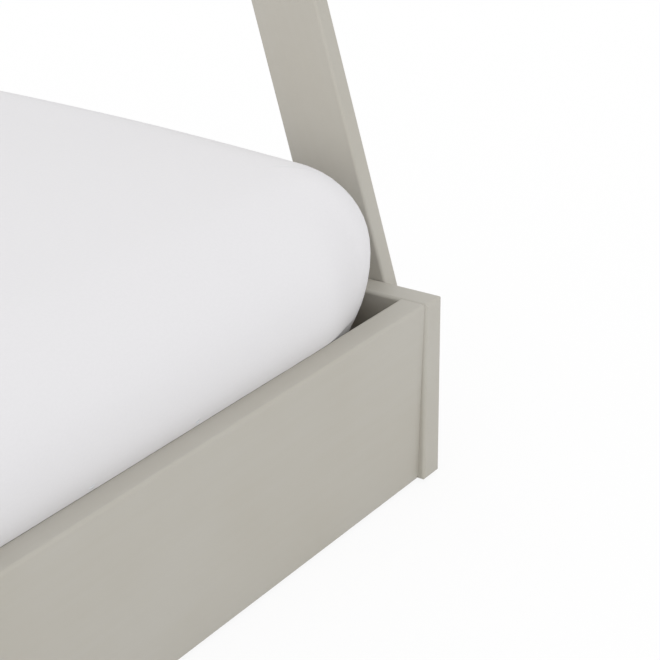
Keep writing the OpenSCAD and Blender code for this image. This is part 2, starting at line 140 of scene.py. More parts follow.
# %% Helpers for textures
def mix_colours(tree, share, low, high):
    """The colour between low and high, by a share that a texture gives."""
    mixed = add(tree, "ShaderNodeMix", data_type="RGBA")
    tree.links.new(share, mixed.inputs["Factor"])
    for socket, value in ((mixed.inputs[6], low), (mixed.inputs[7], high)):
        if isinstance(value, bpy.types.NodeSocket):
            tree.links.new(value, socket)
        else:
            socket.default_value = opaque(value)
    return mixed.outputs[2]


def speckle(tree, space, scale, detail=2.0):
    """Soft noise from 0 to 1, with patches about 1/scale metres across."""
    texture = add(tree, "ShaderNodeTexNoise", {"Vector": space, "Scale": scale, "Detail": detail})
    return texture.outputs["Fac"]


def waves(tree, space, axis, scale, distortion=0.0, detail_scale=1.0):
    """Parallel waves from 0 to 1 that follow each other along one axis."""
    texture = add(tree, "ShaderNodeTexWave", {
        "Vector": space, "Scale": scale, "Distortion": distortion,
        "Detail Scale": detail_scale}, bands_direction=axis)
    return texture.outputs["Fac"]


def stretch(tree, value, old_range, new_range=(0.0, 1.0)):
    """Remaps a value from one range to another, cut off at the new range's ends."""
    mapped = add(tree, "ShaderNodeMapRange", {
        "Value": value, "From Min": old_range[0], "From Max": old_range[1],
        "To Min": new_range[0], "To Max": new_range[1]})
    return mapped.outputs["Result"]


def maths(tree, operation, first, second):
    made = add(tree, "ShaderNodeMath", {0: first, 1: second}, operation=operation)
    return made.outputs[0]


def blend(tree, first, share, second):
    """A share of the first value and the rest of the second."""
    kept = maths(tree, "MULTIPLY", first, share)
    return maths(tree, "ADD", kept, maths(tree, "MULTIPLY", second, 1 - share))


def relief(tree, shader, height, depth, strength=1.0):
    """Height from 0 to 1 becomes a relief of that depth in metres."""
    bump = add(tree, "ShaderNodeBump", {"Height": height, "Distance": depth, "Strength": strength})
    tree.links.new(bump.outputs["Normal"], shader.inputs["Normal"])


def piece_space(tree):
    return add(tree, "ShaderNodeTexCoord").outputs["Object"]


def grain_space(tree, along, stretched):
    """Coordinates with X along the grain, and stretched that many times along it."""
    turn = Vector((1, 0, 0)).rotation_difference(along).to_euler()
    mapping = add(tree, "ShaderNodeMapping", {
        "Vector": piece_space(tree), "Rotation": turn, "Scale": (stretched, 1, 1)},
        vector_type="TEXTURE")
    return mapping.outputs["Vector"]


print("texture helpers:", ", ".join(h.__name__ for h in (speckle, waves, stretch, blend, relief)))

# %% [markdown]
# The boards and posts carry a satin lacquer in a warm grey-beige. Lacquer on wood is never
# quite flat: it has a fine orange peel from the spray gun, the wood's grain shows through it
# as faint lines, and its gloss varies a little. The grain has to run along each board, so the
# same finish is made once for each direction that a board takes.

# %% Lacquered wood
LACQUER = screen(178, 175, 167)
LACQUER_WARM = screen(175, 171, 161)
GRAIN_STRETCH = 24.0
GLOSS_RANGE = (0.38, 0.48)


def lacquered_wood(name, along):
    material, tree, shader = new_finish(name, 0.42, Specular_IOR_Level=0.42)
    grain = speckle(tree, grain_space(tree, along, GRAIN_STRETCH), scale=160.0, detail=4.0)
    space = piece_space(tree)
    peel = speckle(tree, space, scale=420.0, detail=1.0)
    cloud = speckle(tree, space, scale=5.0, detail=3.0)
    tone = blend(tree, grain, 0.25, cloud)
    colour = mix_colours(tree, stretch(tree, tone, (0.35, 0.65)), LACQUER, LACQUER_WARM)
    tree.links.new(colour, shader.inputs["Base Color"])
    tree.links.new(stretch(tree, cloud, (0.3, 0.7), GLOSS_RANGE), shader.inputs["Roughness"])
    relief(tree, shader, blend(tree, grain, 0.6, peel), depth=0.00012, strength=0.5)
    return material


def board_direction(node):
    """The way a straight board or post runs, from the length of its box or its lean."""
    low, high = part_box(node)
    size = high - low
    if size.x >= max(size.y, size.z):
        return Vector((1, 0, 0))
    if size.y > size.z:
        return Vector((0, 1, 0))
    foot_side = -1 if "right" in node else 1
    return Vector((0, -foot_side * size.y, size.z)).normalized()


def dress(node, material):
    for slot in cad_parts[node].material_slots:
        slot.material = material


painted = [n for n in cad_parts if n.endswith(("_rail", "_board", "_post", "_beam"))]
finishes = {}
for node in painted:
    along = board_direction(node)
    key = tuple(round(c, 2) for c in along)
    if key not in finishes:
        finishes[key] = lacquered_wood(f"lacquer_{len(finishes) + 1}", along)
    dress(node, finishes[key])
print("lacquered pieces:", len(painted), "in", len(finishes), "grain directions")

# %% [markdown]
# Slats, ledgers and dowels are bare birch. Birch is pale, with narrow darker lines along the
# grain, fine short pores, and boards that differ a little from each other. Noise that is
# stretched along the grain gives the lines, finer noise gives the pores, and large soft
# noise across the whole deck makes each slat its own tone.

# %% Bare birch
BIRCH_PALE = screen(222, 196, 155)
BIRCH_DARK = screen(196, 163, 116)
BIRCH_TINT = screen(231, 212, 178)
LINE_STRETCH = 30.0
PORE_STRETCH = 12.0


def bare_birch(name, along):
    material, tree, shader = new_finish(name, 0.55, Specular_IOR_Level=0.35)
    lines = speckle(tree, grain_space(tree, along, LINE_STRETCH), scale=130.0, detail=6.0)
    pores = speckle(tree, grain_space(tree, along, PORE_STRETCH), scale=900.0, detail=2.0)
    tone = speckle(tree, piece_space(tree), scale=7.0, detail=1.0)
    wood = mix_colours(tree, stretch(tree, lines, (0.42, 0.72)), BIRCH_PALE, BIRCH_DARK)
    wood = mix_colours(tree, stretch(tree, tone, (0.35, 0.65), (0.0, 0.55)), wood, BIRCH_TINT)
    wood = mix_colours(tree, stretch(tree, pores, (0.66, 0.74), (0.0, 0.5)), wood, BIRCH_DARK)
    tree.links.new(wood, shader.inputs["Base Color"])
    tree.links.new(stretch(tree, lines, (0.3, 0.7), (0.5, 0.62)), shader.inputs["Roughness"])
    height = maths(tree, "SUBTRACT", lines, maths(tree, "MULTIPLY", pores, 0.5))
    relief(tree, shader, height, depth=0.0002, strength=0.6)
    return material


across_birch = bare_birch("birch_across", Vector((0, 1, 0)))
along_birch = bare_birch("birch_along", Vector((1, 0, 0)))
slats = sorted(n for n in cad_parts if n.startswith("slat_") and n != "slat_screws")
for node in slats:
    dress(node, across_birch)
for node in ("left_slat_ledger", "right_slat_ledger", "rail_dowels"):
    dress(node, along_birch)
print("birch slats:", len(slats))

# %% [markdown]
# The fasteners are zinc-plated steel, a metal with a bluish bloom that is uneven from piece to
# piece. The glides under the boards are moulded nylon with a fine matt texture.

# %% Steel and nylon
def zinc_plate():
    material, tree, shader = new_finish("zinc_plate", 0.34, Metallic=1.0)
    space = piece_space(tree)
    bloom = speckle(tree, space, scale=140.0, detail=4.0)
    colour = mix_colours(tree, bloom, screen(206, 208, 211), screen(176, 183, 194))
    tree.links.new(colour, shader.inputs["Base Color"])
    tree.links.new(stretch(tree, bloom, (0.3, 0.7), (0.28, 0.42)), shader.inputs["Roughness"])
    relief(tree, shader, speckle(tree, space, scale=2500.0, detail=1.0), depth=0.00004, strength=0.4)
    return material


def moulded_nylon():
    material, tree, shader = new_finish("moulded_nylon", 0.5)
    space = piece_space(tree)
    tone = speckle(tree, space, scale=90.0)
    colour = mix_colours(tree, tone, screen(92, 89, 85), screen(78, 76, 73))
    tree.links.new(colour, shader.inputs["Base Color"])
    relief(tree, shader, speckle(tree, space, scale=1800.0), depth=0.00008, strength=0.6)
    return material


zinc = zinc_plate()
steel_endings = ("_bolts", "_nuts", "_screws", "_inserts", "_staples")
steel_nodes = [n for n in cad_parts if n.endswith(steel_endings)]
for node in steel_nodes:
    dress(node, zinc)
dress("floor_glides", moulded_nylon())
print("steel groups:", sorted(steel_nodes))

# %% [markdown]
# The mattress is one soft block. Seen from above it is a rectangle with round corners. Its
# section rises from a drawn-in base to a fullest line, rolls over a large soft shoulder and
# ends in a low crown. Between its corners each side bows out by a few millimetres, as a filled
# case does. It lies against its board and swells a little over the board's top, and the bow
# fades out before the corners. The same section, taken a little further in, also gives the
# cover and the foam. The driving sizes are those of the solids. WALL names stand for the
# boards' inner faces, less a small gap, and ARRIS names for the rounding of their top edge.
# TOP_ROUND and TOP_FALL are the shoulder's width and height, and TUCK is how far in the hem lies.

# %% Sizes of the mattress
sheet_low, sheet_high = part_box("fitted_sheet")
BED_Z = sheet_low.z
HALF_L = (sheet_high.x - sheet_low.x) / 2
HALF_W = (sheet_high.y - sheet_low.y) / 2
CROWN = 0.018
CROWN_FADE = 0.40
EDGE_H = sheet_high.z - BED_Z - CROWN
TOP_ROUND = 0.058
TOP_FALL = 0.072
BASE_ROUND = 0.018
FULL_CORNER_R = 0.044
BASE_CORNER_R = 0.086
FULL_Z = EDGE_H - TOP_FALL
TUCK = HALF_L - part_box("sheet_elastic")[1].x
FLAT_TOP_IN = 0.100
WALL_GAP = 0.00015
WALL_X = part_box("foot_end_board")[0].x - WALL_GAP
WALL_Y = -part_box("right_side_rail")[1].y - WALL_GAP
WALL_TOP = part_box("right_side_rail")[1].z - BED_Z
ARRIS = 0.003
ARRIS_ROLL = ARRIS + WALL_GAP
OVERHANG = 0.0080
PRESS_FOOT = 0.020
PRESS_TOP = EDGE_H - 0.004
BOW_START = 0.045
BOW_WHOLE = 0.015
SIDE_FADE = (HALF_L - 0.11, HALF_L - 0.035)
END_FADE = (HALF_W - 0.09, HALF_W - 0.025)


def smooth_step(value, low, high):
    share = min(max((value - low) / (high - low), 0.0), 1.0)
    return share * share * (3 - 2 * share)


def crown_at(x, y):
    """Height of the crown, nothing at the sides and only partly faded at the ends."""
    return CROWN * (1 - (y / HALF_W) ** 2) * (1 - CROWN_FADE * (x / HALF_L) ** 4)


def swell(level):
    """How far the side stands past the wall: round the wall's arris, then a little more."""
    climbed = min(max(level - (WALL_TOP - ARRIS), 0.0), ARRIS_ROLL)
    rolled = ARRIS_ROLL - math.sqrt(ARRIS_ROLL ** 2 - climbed ** 2)
    clear = WALL_TOP + WALL_GAP
    rise = min(max((level - clear) / (FULL_Z - clear), 0.0), 1.0)
    return rolled + (OVERHANG - ARRIS_ROLL) * math.sin(math.pi / 2 * rise)


def bowed(across, half, along, fade, wall, level):
    """One coordinate, moved out to its wall, with the swell over the wall's top."""
    share = 1 - smooth_step(abs(along), *fade)
    share *= smooth_step(level, 0, PRESS_FOOT) * (1 - smooth_step(level, FULL_Z, PRESS_TOP))
    share *= smooth_step(abs(across), half - BOW_START, half - BOW_WHOLE)
    return across + (math.copysign(wall + swell(level), across) - across) * share


def mattress_point(x, y, level, skin):
    """A point at a level above the base, with its share of the crown and of the bow."""
    height = BED_Z + level + crown_at(x, y) * max(level, 0) / EDGE_H
    out_x = bowed(x, HALF_L, y, END_FADE, WALL_X - skin, level)
    out_y = bowed(y, HALF_W, x, SIDE_FADE, WALL_Y - skin, level)
    return Vector((out_x, out_y, height))


print("mattress:", round(2 * HALF_L, 3), "x", round(2 * HALF_W, 3), "x", round(EDGE_H, 3), "m")
print("tucked in under the base by", round(TUCK, 3), "m")

# %% [markdown]
# A clean way to cover a rounded block is a grid on the flat top, with rings of quads that go
# out from the grid's edge, over the shoulder, down the side and in under the base. Each ring
# has as many points as the grid's edge, so everything joins without a triangle. The rings
# are walked by length, so the points stay evenly spaced round the corners. Two close columns
# on each side of every corner leave room for a sewn seam there. The sheet gets smaller cells
# than the layers inside it, because its hem is gathered.

# %% Rings round the mattress
SEAM_STEPS = (0.0012, 0.0035)
INNER_CELL = 0.012
SHEET_CELL = 0.006


def side_shares(cells, length):
    """Shares of the way along one side, with close columns beside the corner seams."""
    close = [s / length for s in SEAM_STEPS]
    even = [i / cells for i in range(1, cells)]
    return [0.0, *close, *even, *[1 - c for c in reversed(close)]]


def four_sides(cell):
    """The sides in the ring's order: their way, their outward direction, shares and halves."""
    shares_l = side_shares(round(2 * HALF_L / cell), 2 * HALF_L)
    shares_w = side_shares(round(2 * HALF_W / cell), 2 * HALF_W)
    return (
        ((-1, 0), (0, 1), shares_l, HALF_L, HALF_W),
        ((0, -1), (-1, 0), shares_w, HALF_W, HALF_L),
        ((1, 0), (0, -1), shares_l, HALF_L, HALF_W),
        ((0, 1), (1, 0), shares_w, HALF_W, HALF_L),
    )


def ring_points(sides, inset, radius):
    """One ring, counter-clockwise from the middle of the corner at +X +Y."""
    found = []
    for way, out, shares, half_along, half_out in sides:
        way, out = Vector(way), Vector(out)
        reach = half_along - inset - radius
        arc = math.pi / 4 * radius
        length = 2 * reach + 2 * arc
        for share in shares:
            walked = share * length
            if walked < arc:
                turn = math.pi / 4 - walked / radius
                facing = out * math.cos(turn) - way * math.sin(turn)
                along = -reach
            elif walked > length - arc:
                turn = (walked - length + arc) / radius
                facing = out * math.cos(turn) + way * math.sin(turn)
                along = reach
            else:
                facing = out
                along = walked - arc - reach
            found.append(way * along + out * (half_out - inset - radius) + facing * radius)
    return found


INNER_SIDES = four_sides(INNER_CELL)
SHEET_SIDES = four_sides(SHEET_CELL)
for sides in (INNER_SIDES, SHEET_SIDES):
    print("points in a ring:", len(ring_points(sides, 0.0, FULL_CORNER_R)))

# %% [markdown]
# The skins share one list of levels. Each level is an inset from the fullest outline, a
# height above the base and a corner radius. The shoulder and the drawn-in side are quarter
# ellipses. The corners are square where the top is flat, and widest at the base, where the
# sheet's elastic pulls them in. A skin that lies further in gets the same curves with smaller
# radii, so the layers stay parallel.

# %% Levels from the flat top to the base
RIM_STEPS = 4
SHOULDER_STEPS = 12
SIDE_STEPS = 10
NEAR_ARRIS = (0.008, 0.004, 0.0015, 0.0004, 0.0003, 0.0, -0.0005, -0.0012, -0.002, -0.003)


def side_turns():
    """Turns of the drawn-in side's quarter ellipse, with close ones at the boards' top arris."""
    turns = [math.pi / 2 * i / SIDE_STEPS for i in range(1, SIDE_STEPS + 1)]
    turns += [math.asin((FULL_Z - WALL_TOP - step) / FULL_Z) for step in NEAR_ARRIS]
    return sorted(turns)


def skin_levels(skin, low_skin):
    """(inset, level, corner radius) from the edge of the top's grid to the edge of the base."""
    top = EDGE_H - skin
    shoulder_r = FULL_CORNER_R - TOP_ROUND / 2
    levels = []
    for i in range(RIM_STEPS):
        share = i / RIM_STEPS
        levels.append((FLAT_TOP_IN + (TOP_ROUND - FLAT_TOP_IN) * share, top, shoulder_r * share))
    for i in range(SHOULDER_STEPS + 1):
        turn = math.pi / 2 * (1 - i / SHOULDER_STEPS)
        inset = skin + (TOP_ROUND - skin) * (1 - math.cos(turn))
        level = FULL_Z + (TOP_FALL - skin) * math.sin(turn)
        levels.append((inset, level, FULL_CORNER_R - inset / 2))
    for turn in side_turns():
        share = 1 - math.cos(turn)
        inset = skin + (BASE_ROUND + low_skin - 2 * skin) * share
        radius = FULL_CORNER_R + (BASE_CORNER_R - FULL_CORNER_R) * share - skin / 2
        levels.append((inset, FULL_Z - (FULL_Z - low_skin) * math.sin(turn), radius))
    return levels


def flat_grid(sides):
    """Plan points of the flat top, row by row from -Y to +Y, with the ring's own spacing."""
    columns = [1 - s for s in sides[0][2]] + [0.0]
    rows = sides[1][2] + [1.0]
    half_x, half_y = HALF_L - FLAT_TOP_IN, HALF_W - FLAT_TOP_IN
    xs = sorted((2 * s - 1) * half_x for s in columns)
    ys = sorted((2 * s - 1) * half_y for s in rows)
    return xs, ys


print("lines of the top's grid:", [len(lines) for lines in flat_grid(INNER_SIDES)])

# %% [markdown]
# The mesh is put together from those parts. The grid's outermost points are the first ring,
# so the two share them. A closed skin gets a second grid under its base. The open one, the
# sheet, ends at its hem instead.

# %% Points and faces of one skin
def new_piece(name, points, faces):
    """A smooth mesh object in the scene."""
    mesh = bpy.data.meshes.new(name)
    mesh.from_pydata(points, [], faces)
    mesh.shade_smooth()
    piece = bpy.data.objects.new(name, mesh)
    scene.collection.objects.link(piece)
    return piece


def stitch_rings(first, second, count):
    """Quads between two rings of points, which face outwards as the rings go down."""
    return [
        (first[i], second[i], second[(i + 1) % count], first[(i + 1) % count])
        for i in range(count)
    ]


def grid_with_edge(sides, level, skin, facing_up):
    """Points and faces of a flat grid, and its edge's point numbers in the ring's order."""
    xs, ys = flat_grid(sides)
    width, depth = len(xs), len(ys)
    points = [mattress_point(x, y, level, skin) for y in ys for x in xs]
    faces = []
    for j in range(depth - 1):
        for i in range(width - 1):
            a = j * width + i
            quad = (a, a + 1, a + width + 1, a + width)
            faces.append(quad if facing_up else quad[::-1])
    top_row = [(depth - 1) * width + i for i in reversed(range(1, width))]
    left_column = [j * width for j in reversed(range(1, depth))]
    low_row = list(range(width - 1))
    right_column = [j * width + width - 1 for j in range(depth - 1)]
    return points, faces, top_row + left_column + low_row + right_column


print("points on the top's grid:", len(grid_with_edge(INNER_SIDES, EDGE_H, 0.0, True)[0]))

# %% Build one skin
def mattress_skin(name, sides, skin, low_skin, hem_rings=None):
    """A closed skin, or with hem_rings an open one that ends at the last of them."""
    points, faces, edge = grid_with_edge(sides, EDGE_H - skin, skin, True)
    rings = [edge]
    around = len(edge)
    levels = skin_levels(skin, low_skin)[1:] + (hem_rings or [])
    for inset, level, radius in levels:
        start = len(points)
        points += [mattress_point(p.x, p.y, level, skin) for p in ring_points(sides, inset, radius)]
        rings.append(list(range(start, start + around)))
    for outer, inner in zip(rings, rings[1:]):
        faces += stitch_rings(outer, inner, around)
    if hem_rings is None:
        base_points, base_faces, base_edge = grid_with_edge(sides, low_skin, skin, False)
        start = len(points)
        points += base_points
        faces += [tuple(i + start for i in face) for face in base_faces]
        faces += stitch_rings(rings[-1], [i + start for i in base_edge], around)
    print(name, "points:", len(points), "faces:", len(faces))
    return new_piece(name, points, faces), rings


print("levels of a closed skin:", len(skin_levels(0.0, 0.0)))

# %% [markdown]
# Foam is the inside of the mattress. Nobody sees it, but the piece is real: a soft cream block
# with open cells. It lies a few millimetres inside its cover.

# %% Foam core
COVER_SKIN = 0.0015
COVER_LOW_SKIN = 0.0050
CORE_STEP = 0.0024


def open_cell_foam():
    material, tree, shader = new_finish("open_cell_foam", 0.9, Specular_IOR_Level=0.2)
    space = piece_space(tree)
    cells = add(tree, "ShaderNodeTexVoronoi", {"Vector": space, "Scale": 700.0}).outputs["Distance"]
    colour = mix_colours(tree, cells, screen(206, 196, 160), screen(243, 236, 208))
    tree.links.new(colour, shader.inputs["Base Color"])
    relief(tree, shader, cells, depth=0.0006, strength=0.8)
    return material


foam_core, _ = mattress_skin(
    "foam_core", INNER_SIDES, COVER_SKIN + CORE_STEP, COVER_LOW_SKIN + CORE_STEP)
foam_core.data.materials.append(open_cell_foam())
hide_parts("mattress_core")
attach(foam_core, "mattress")

# %% [markdown]
# The cover is a quilted case: the needle pulls the cloth down along crossing lines and the
# wadding swells between them. The lines are sewn before the cover goes on, so they are
# moved into the mesh here. Under the base the cloth is plain, and it sags onto the slats
# inside the sheet's hem.

# %% Quilted cover
QUILT_PITCH = 0.085
QUILT_DEPTH = 0.0022
QUILT_WIDTH = 0.010
BASE_SAG = COVER_LOW_SKIN - 0.0001
BASE_SAG_START = TUCK + 0.012
BASE_SAG_END = TUCK + 0.045
BASE_TOP = BED_Z + COVER_LOW_SKIN + 0.001


def line_distance(value, pitch):
    """Distance from the nearest of a set of parallel lines."""
    return abs((value / pitch + 0.5) % 1.0 - 0.5) * pitch


def quilt_pull(point):
    """How far the stitches pull the cloth in at a point."""
    spread = point.x + point.z
    distance = min(
        line_distance((spread + point.y) / math.sqrt(2), QUILT_PITCH),
        line_distance((spread - point.y) / math.sqrt(2), QUILT_PITCH),
    )
    return QUILT_DEPTH * math.exp(-((distance / QUILT_WIDTH) ** 2))


def quilted_ticking():
    material, tree, shader = new_finish(
        "quilted_ticking", 0.8, Specular_IOR_Level=0.25, Sheen_Weight=0.2)
    space = piece_space(tree)
    knit = maths(tree, "ADD", *(
        waves(tree, space, axis, scale=210.0, distortion=1.5, detail_scale=3.0) for axis in "XY"))
    tone = speckle(tree, space, scale=300.0, detail=3.0)
    colour = mix_colours(tree, tone, screen(212, 216, 221), screen(232, 234, 237))
    tree.links.new(colour, shader.inputs["Base Color"])
    relief(tree, shader, knit, depth=0.0004, strength=0.6)
    return material


cover, _ = mattress_skin("quilted_cover", INNER_SIDES, COVER_SKIN, COVER_LOW_SKIN)
for vertex in cover.data.vertices:
    if vertex.co.z > BASE_TOP:
        vertex.co -= vertex.normal * quilt_pull(vertex.co)
    else:
        inset = min(HALF_L - abs(vertex.co.x), HALF_W - abs(vertex.co.y))
        vertex.co.z -= BASE_SAG * smooth_step(inset, BASE_SAG_START, BASE_SAG_END)
cover.data.materials.append(quilted_ticking())
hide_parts("mattress_cover")
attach(cover, "mattress")
print("cover quilted at", QUILT_PITCH, "m")

# %% [markdown]
# The sheet is one cut of white cotton with its four corners sewn as darts, and an elastic
# along the hem that gathers it under the mattress. It starts as an open skin of the same
# family, a tenth of a millimetre inside the solid, with rings that turn in under the base and
# end at the hem. Its thickness is added at the end, inwards.

# %% The fitted sheet's form
SHEET_SKIN = 0.0001
SHEET_T = 0.0007
SHEET_BASE = 0.0003
HEM_STEPS = 9
EDGE_IN = TUCK - 0.001


def hem_levels():
    """Rings that turn in under the base, to the hem's edge."""
    levels = []
    for i in range(1, HEM_STEPS + 1):
        share = i / HEM_STEPS
        radius = BASE_CORNER_R + (FULL_CORNER_R - BASE_CORNER_R) * share
        levels.append((BASE_ROUND + (EDGE_IN - BASE_ROUND) * share, SHEET_BASE, radius))
    return levels


sheet, sheet_rings = mattress_skin("cotton_sheet", SHEET_SIDES, SHEET_SKIN, SHEET_BASE, hem_levels())
AROUND = len(sheet_rings[0])
print("sheet rings:", len(sheet_rings), "of", AROUND, "points")

# %% [markdown]
# Each ring is followed down every column, and the length walked so far is kept. It says how
# far a point is from the hem, where the gathers start, and how far from the top's grid, where
# the seams start and from where the cloth is laid flat for its weave. A dart is a fine groove
# between two ridges. Cloth that is drawn smooth still waves by a fraction of a millimetre.

# %% Seams and slight waves
def column_lengths(piece, rings):
    """Distance of each ring's points from the grid's edge, walked over the cloth."""
    co = np.array([v.co for v in piece.data.vertices])
    walked = [np.zeros(len(rings[0]))]
    for above, below in zip(rings, rings[1:]):
        walked.append(walked[-1] + np.linalg.norm(co[below] - co[above], axis=1))
    return walked


SEAM_GROOVE = 0.0005
SEAM_RIDGE = 0.0004
SEAM_RISE = (0.02, 0.06)
WAVE_DEPTH = 0.0004
WIDE_WAVES = 7.0
SHORT_WAVES = 17.0
CLOTH_SEED = Vector((3.7, 11.3, 5.9))
down_lengths = column_lengths(sheet, sheet_rings)
seam_columns = {0: SEAM_GROOVE, 1: -SEAM_RIDGE, 2: -SEAM_RIDGE / 2}
corner_starts = np.cumsum([0, *(len(side[2]) for side in SHEET_SIDES[:3])])


def seam_depth(column):
    """Above 0 in a corner seam's groove, below 0 on the ridges beside it."""
    nearest = min(abs((column - c + AROUND // 2) % AROUND - AROUND // 2) for c in corner_starts)
    return seam_columns.get(nearest, 0.0)


moves = {}
for ring, lengths in zip(sheet_rings, down_lengths):
    for column, index in enumerate(ring):
        moves[index] = seam_depth(column) * smooth_step(lengths[column], *SEAM_RISE)
for vertex in sheet.data.vertices:
    wave = noise.noise(vertex.co * WIDE_WAVES + CLOTH_SEED)
    wave += 0.5 * noise.noise(vertex.co * SHORT_WAVES - CLOTH_SEED)
    moves[vertex.index] = moves.get(vertex.index, 0.0) + WAVE_DEPTH * (wave + 1.0) / 2
normals = [v.normal.copy() for v in sheet.data.vertices]
for index, depth in moves.items():
    sheet.data.vertices[index].co -= normals[index] * depth
print("deepest move:", round(max(moves.values()) * 1000, 2), "mm")

# %% [markdown]
# The elastic draws the hem in, so there is more cloth than room for it and the spare cloth
# buckles. How such folds run, join and die out is hard to invent, so Blender's cloth solver
# finds them. It gets a copy of the lowest rings only, whose top edge is held. A vertex group
# makes the copy's threads longer towards the hem, and weak pins stand for the soft mattress on
# one side and the slats on the other. Without those pins the cloth would bulge in a few large
# waves. A slight uneven start shows the cloth where to buckle.

# %% A strip of cloth for the solver
SKIRT_TOP = 0.030
SPARE_CLOTH = 0.10
SPARE_REACH = (0.040, 0.125)


def strip_of(name, piece, rings):
    """A separate piece made of some neighbouring rings."""
    points = [piece.data.vertices[i].co.copy() for ring in rings for i in ring]
    faces = []
    for k in range(len(rings) - 1):
        above = list(range(k * AROUND, (k + 1) * AROUND))
        faces += stitch_rings(above, [i + AROUND for i in above], AROUND)
    return new_piece(name, points, faces)


def spare_shares(rings):
    """1 at the hem, where the cloth has the most to spare, and 0 where it is drawn smooth."""
    above = len(sheet_rings) - len(rings)
    found = []
    for k in range(len(rings)):
        from_hem = down_lengths[-1] - down_lengths[above + k]
        found += [1 - smooth_step(d, *SPARE_REACH) for d in from_hem]
    return found


skirt_rings = [r for r in sheet_rings if sheet.data.vertices[r[0]].co.z < BED_Z + SKIRT_TOP]
skirt_shares = spare_shares(skirt_rings)
print("skirt rings:", len(skirt_rings), "from ring", len(sheet_rings) - len(skirt_rings))

# %% Solve the gathers
PINNED_RINGS = 2
SOFT_HOLD = 0.30
START_WAVE = 0.0006
START_WAVES = 60
BENDING = 8.0
SOLVER_STEPS = 5
SOLVED_FRAMES = 8


def add_gathers(strip, shares):
    """The cloth modifier, with longer threads where a share is high."""
    held = strip.vertex_groups.new(name="held")
    drawn = strip.vertex_groups.new(name="drawn")
    for vertex, share in zip(strip.data.vertices, shares):
        pinned = vertex.index < PINNED_RINGS * AROUND
        held.add([vertex.index], 1.0 if pinned else SOFT_HOLD, "REPLACE")
        drawn.add([vertex.index], 1 - share, "REPLACE")
        start = START_WAVE * share * (noise.noise(vertex.co * START_WAVES + CLOTH_SEED) + 0.5)
        vertex.co -= vertex.normal * start
    cloth = strip.modifiers.new("gathers", "CLOTH")
    settings = cloth.settings
    settings.quality = SOLVER_STEPS
    settings.bending_stiffness = BENDING
    settings.vertex_group_mass = held.name
    settings.shrink_min = -SPARE_CLOTH
    settings.shrink_max = 0.0
    settings.vertex_group_shrink = drawn.name
    settings.effector_weights.gravity = 0.0
    cloth.collision_settings.use_collision = False
    cloth.point_cache.frame_end = SOLVED_FRAMES


def solved_points(strip):
    """Steps the solver and reads where the points have come to rest."""
    for number in range(1, SOLVED_FRAMES + 1):
        scene.frame_set(number)
    settled = strip.evaluated_get(bpy.context.evaluated_depsgraph_get())
    found = np.array([v.co for v in settled.data.vertices])
    scene.frame_set(1)
    return found


skirt_moves = np.zeros((len(skirt_shares), 3))
skirt = strip_of("skirt", sheet, skirt_rings)
before = np.array([v.co for v in skirt.data.vertices])
add_gathers(skirt, skirt_shares)
skirt_moves = solved_points(skirt) - before
bpy.data.objects.remove(skirt)
largest_move = float(np.linalg.norm(skirt_moves, axis=1).max())
print("largest move in the skirt:", round(largest_move * 1000, 2), "mm")

# %% [markdown]
# The solver's folds go both ways, but below the sheet there are slats and beside it boards. So
# of each move only the inward part is kept, softly cut off at the room that is left under the
# cover, and the sliding along the cloth's own face. The sheet never leaves its solid's space.

# %% Press the gathers inwards
FOLD_CAP = 0.0032
FOLD_EASE = 0.001


def pressed(outward):
    """How far in a point goes: nothing for an outward fold, and at most the cap."""
    inward = (np.sqrt(outward ** 2 + FOLD_EASE ** 2) - outward - FOLD_EASE) / 2
    return FOLD_CAP * np.tanh(np.maximum(inward, 0.0) / FOLD_CAP)


facing = np.array([sheet.data.vertices[i].normal for ring in skirt_rings for i in ring])
outward = np.sum(skirt_moves * facing, axis=1)
sliding = skirt_moves - outward[:, None] * facing
kept = sliding * np.array(skirt_shares)[:, None] - pressed(outward)[:, None] * facing
for index, move in zip((i for ring in skirt_rings for i in ring), kept):
    sheet.data.vertices[index].co += Vector(move)
print("deepest gather:", round(float(pressed(outward).max()) * 1000, 2), "mm")

# %% [markdown]
# The cloth's own coordinates are where each thread would lie if the sheet were cut open at
# the darts and pressed flat. The top keeps its plan, and every side is folded out by the
# length walked over it. They are stored as a UV map in metres, which the weave reads.

# %% Lay the weave
def lay_flat(piece, rings, lengths):
    """UV map in metres: the plan on the grid, and the sides folded out from its edge."""
    mesh = piece.data
    layer = mesh.uv_layers.new(name="cloth")
    place = {}
    for k, ring in enumerate(rings):
        for column, index in enumerate(ring):
            place[index] = (k, column)
    side_of = []
    for number, side in enumerate(SHEET_SIDES):
        side_of += [number] * len(side[2])
    edge = [mesh.vertices[i].co.copy() for i in rings[0]]
    for polygon in mesh.polygons:
        columns = [place[v][1] for v in polygon.vertices if v in place]
        on_side = len(columns) == 4 and any(place[v][0] > 0 for v in polygon.vertices)
        if on_side:
            first = min(columns) if max(columns) - min(columns) < AROUND // 2 else max(columns)
            out = Vector(SHEET_SIDES[side_of[first]][1])
        for loop in polygon.loop_indices:
            index = mesh.loops[loop].vertex_index
            if on_side:
                k, column = place[index]
                start = edge[column]
                flat = Vector((start.x, start.y)) + out * float(lengths[k][column])
            else:
                flat = mesh.vertices[index].co
            layer.data[loop].uv = (flat.x, flat.y)


lay_flat(sheet, sheet_rings, down_lengths)
print("cloth map:", sheet.data.uv_layers["cloth"].name)

# %% [markdown]
# Percale is a plain weave of fine cotton, matt, with a soft bloom where it turns away. The
# threads are about a third of a millimetre apart. Two crossing waves make them, some threads
# are slightly thicker than the rest, and a weak sheen lifts the rim.

# %% White percale
THREAD_PITCH = 0.00035
WAVES_PER_UNIT = 20 / (2 * math.pi)


